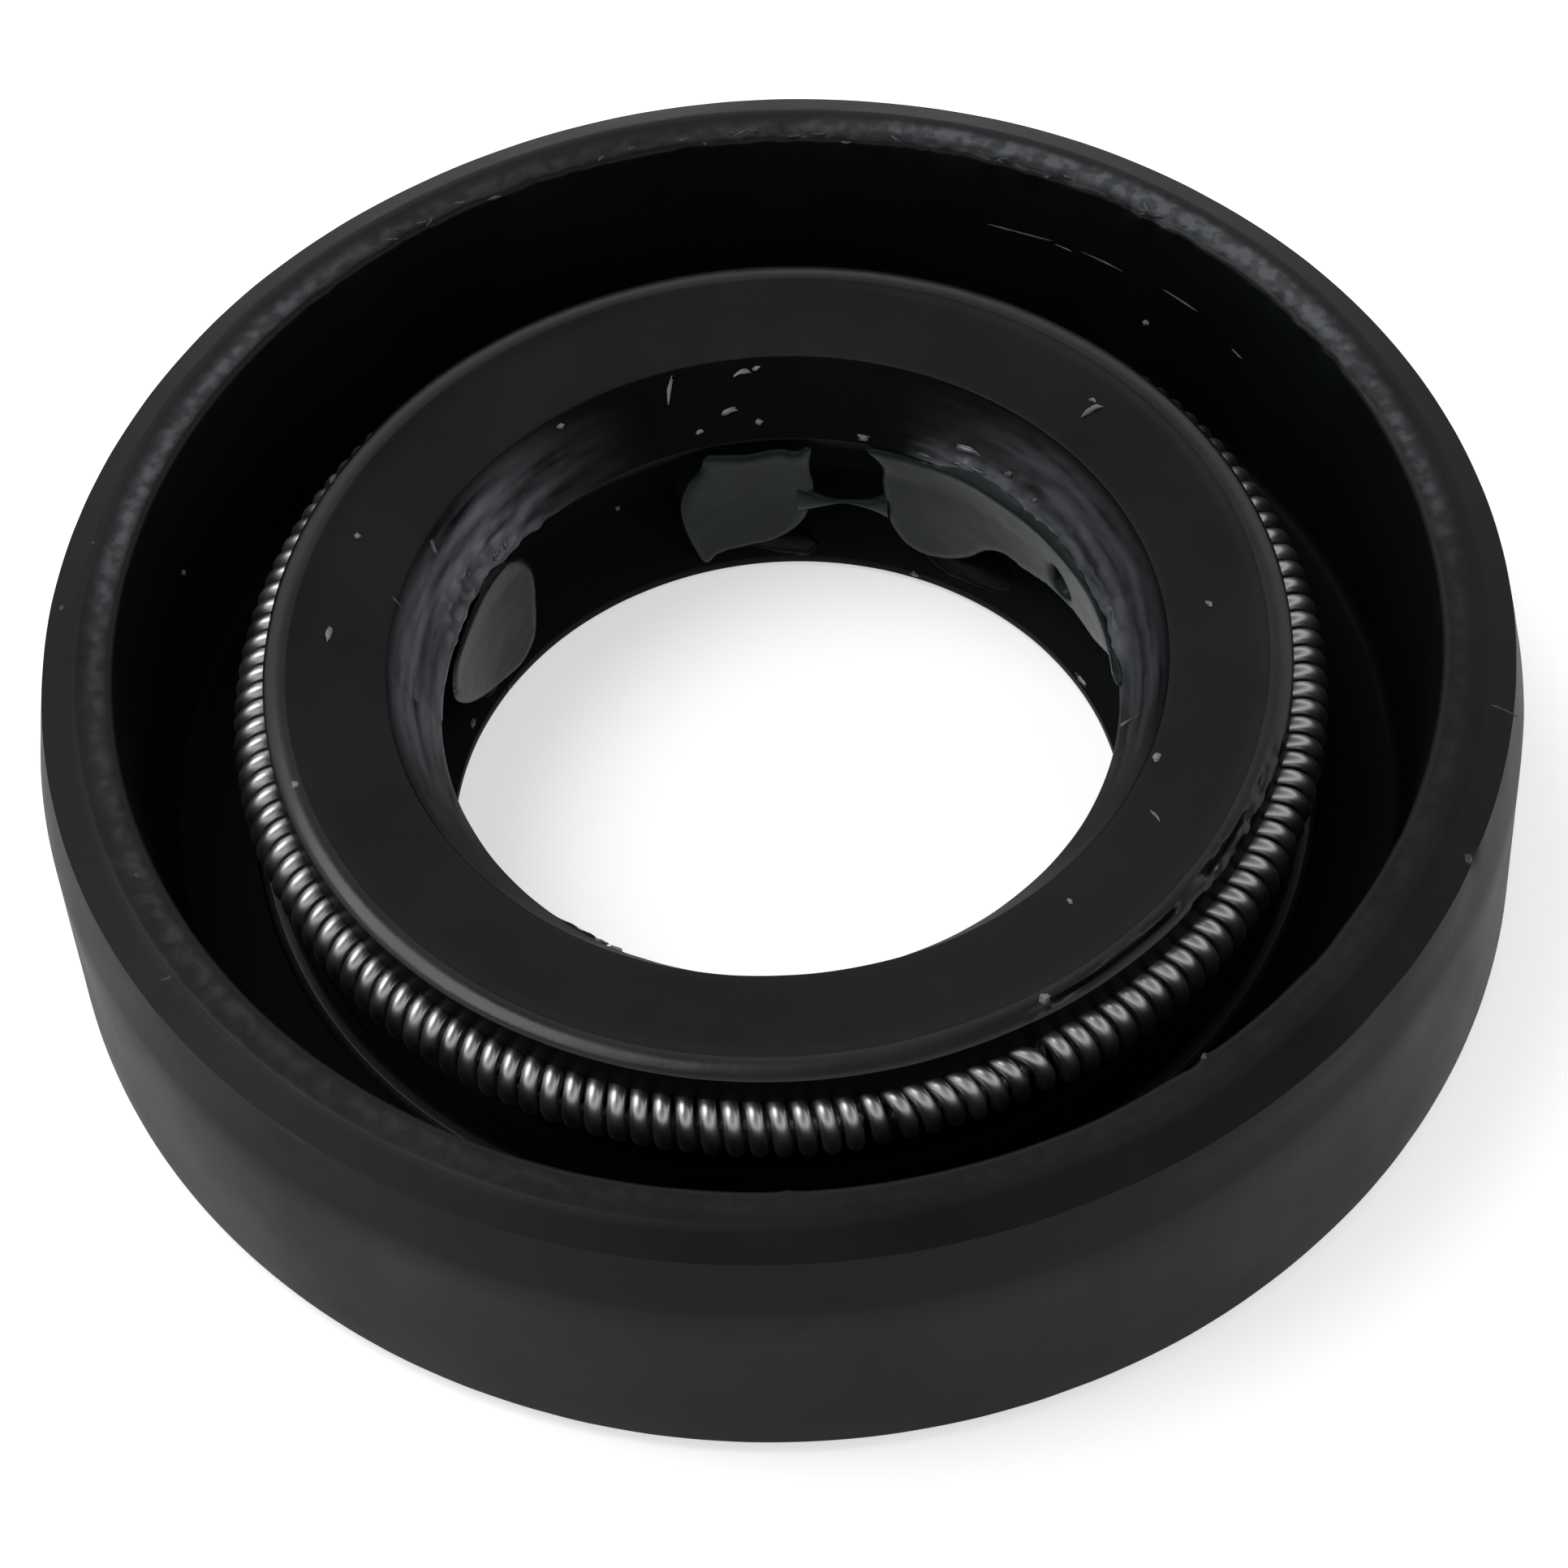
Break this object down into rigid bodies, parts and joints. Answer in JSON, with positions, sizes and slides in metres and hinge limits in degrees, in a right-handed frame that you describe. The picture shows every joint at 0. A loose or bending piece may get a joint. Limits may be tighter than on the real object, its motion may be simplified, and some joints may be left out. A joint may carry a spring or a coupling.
{
  "type": "radial shaft seal",
  "caption": "Rubber-covered radial shaft seal with a steel case inside, a garter spring behind its sealing lip, a dust lip and some grease between the lips, lying spring side up.",
  "frame": {"origin": "centre of the flat back face that the seal lies on", "axes": "+Z along the shaft axis towards the spring side; X and Y across the seal, with the picture taken from -Y"},
  "size_m": [0.035, 0.035, 0.008],
  "materials": {
    "rubber": "moulded black nitrile rubber, satin",
    "case_steel": "plain stamped carbon steel, bonded inside the rubber",
    "spring_steel": "bright drawn spring wire",
    "grease": "dark grey-green grease, wet and slightly see-through at its edges; soft, but a solid here"
  },
  "bodies": {
    "root": {"rubber_body": "rubber", "steel_case": "case_steel", "garter_spring": "spring_steel", "left_grease": "grease", "rear_grease": "grease", "right_grease": "grease"}
  },
  "joints": []
}
